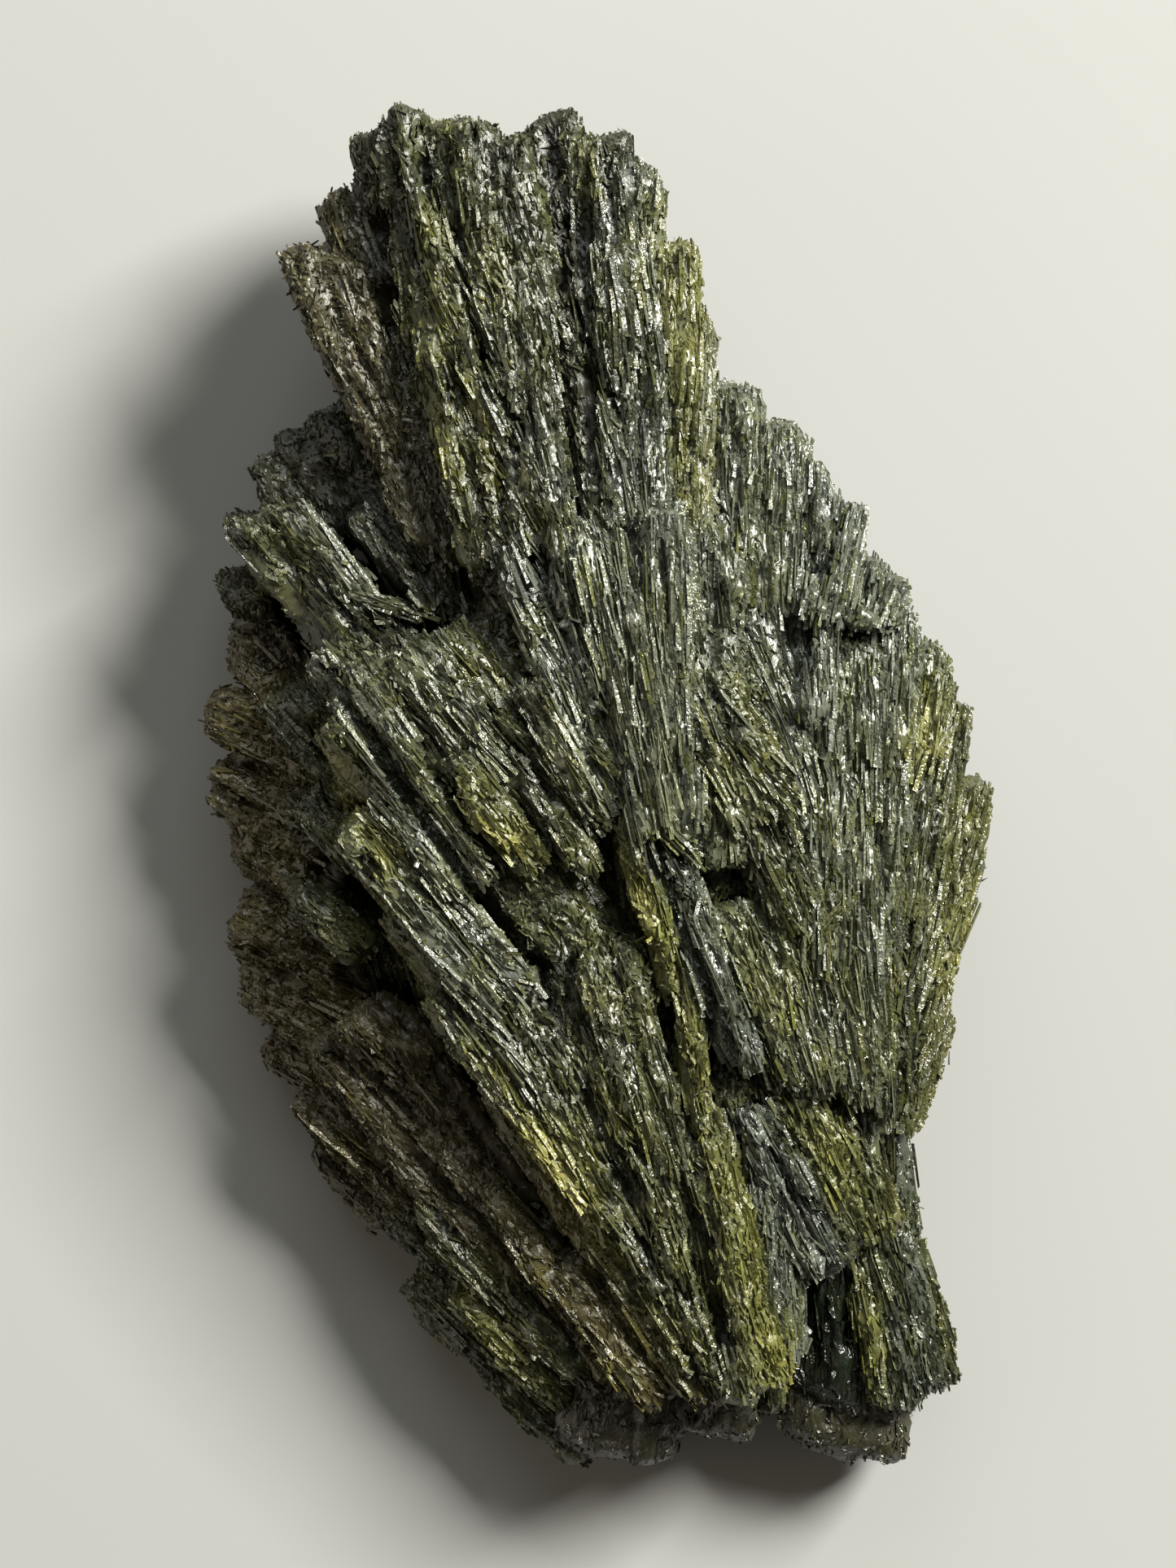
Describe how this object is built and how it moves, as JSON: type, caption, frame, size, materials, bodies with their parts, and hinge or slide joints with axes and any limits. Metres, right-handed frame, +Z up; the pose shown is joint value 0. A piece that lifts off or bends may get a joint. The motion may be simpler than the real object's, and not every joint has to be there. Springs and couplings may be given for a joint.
{
  "type": "epidote crystal cluster",
  "caption": "Radiating cluster of grown-together bladed epidote crystals, dark bottle green with olive bands, that lies on a flat break.",
  "frame": {"origin": "on the resting plane, under the centre of the cluster's box", "axes": "+X across the cluster, +Y along its length towards the tall fan, +Z up through its thickness, out of the flat break"},
  "size_m": [0.032, 0.0546, 0.0153],
  "materials": {
    "epidote": "vitreous, striated dark bottle-green crystal with olive and yellow-green bands"
  },
  "bodies": {
    "root": {"epidote_cluster": "epidote"}
  },
  "joints": []
}
